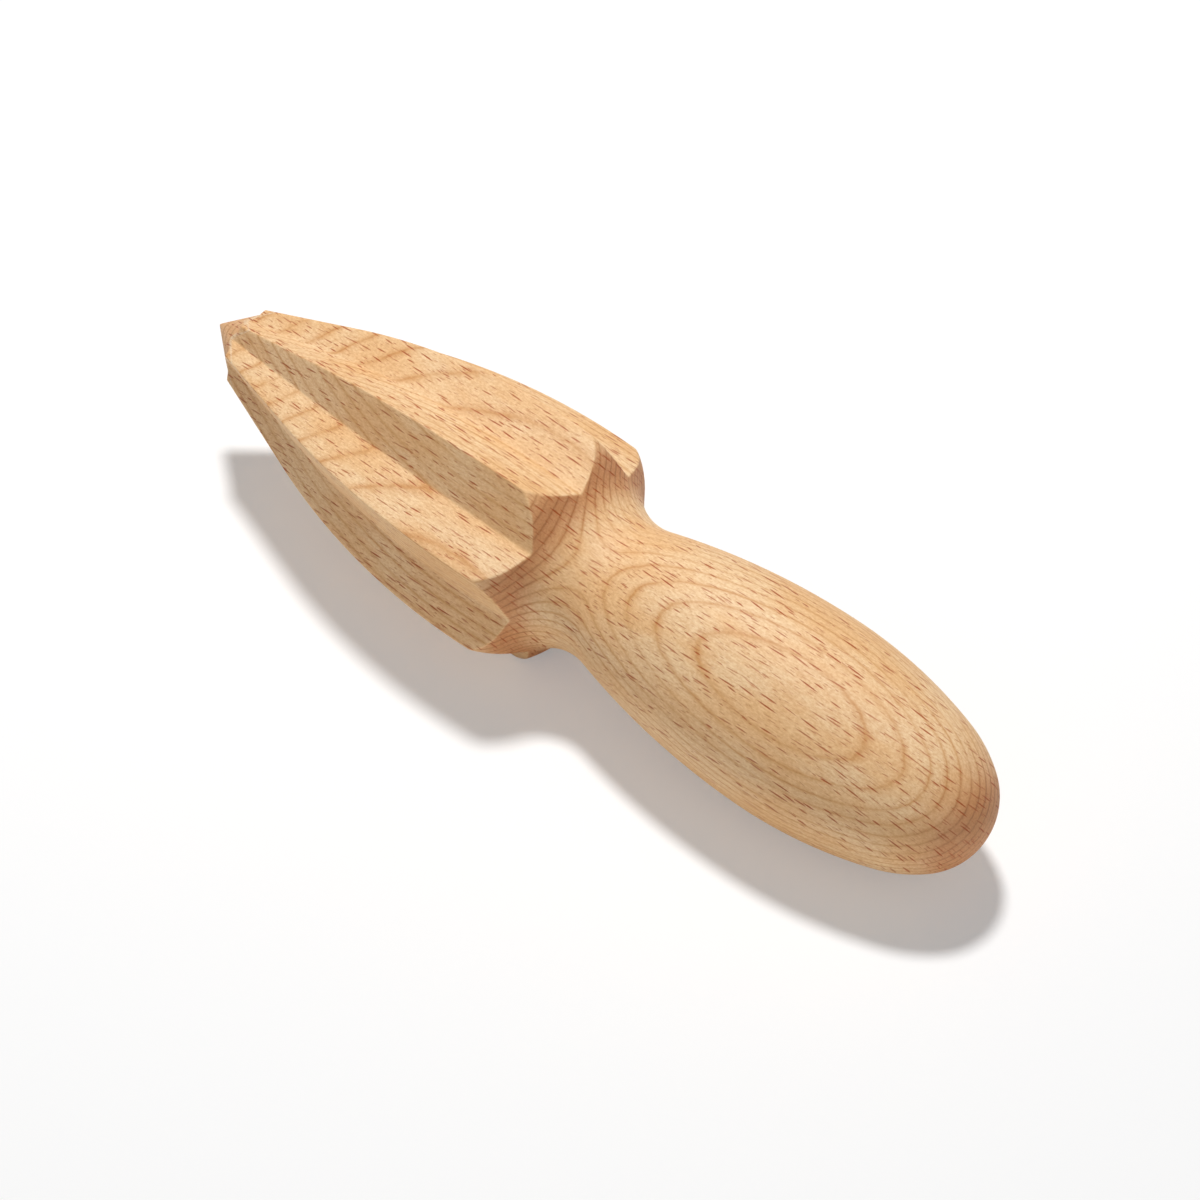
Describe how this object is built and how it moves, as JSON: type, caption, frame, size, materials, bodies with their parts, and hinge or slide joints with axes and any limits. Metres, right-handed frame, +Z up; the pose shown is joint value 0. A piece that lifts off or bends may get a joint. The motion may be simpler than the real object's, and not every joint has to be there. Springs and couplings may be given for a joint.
{
  "type": "citrus reamer",
  "caption": "Wooden hand citrus reamer: a tapering fluted head with a short point, a narrow neck and a rounded bulb handle, turned from one piece of beech.",
  "frame": {"origin": "centre of the bounding box's bottom face, where the reamer lies on a level surface", "axes": "+X from the point towards the handle's end, +Z up; the reamer lies on two neighbouring ribs and on the handle's belly, so its own axis drops 3.2 degrees towards the handle"},
  "size_m": [0.1598, 0.0396, 0.0399],
  "materials": {
    "beech": "fine-sanded natural beech with a light oil, satin"
  },
  "bodies": {
    "root": {"reamer": "beech"}
  },
  "joints": []
}
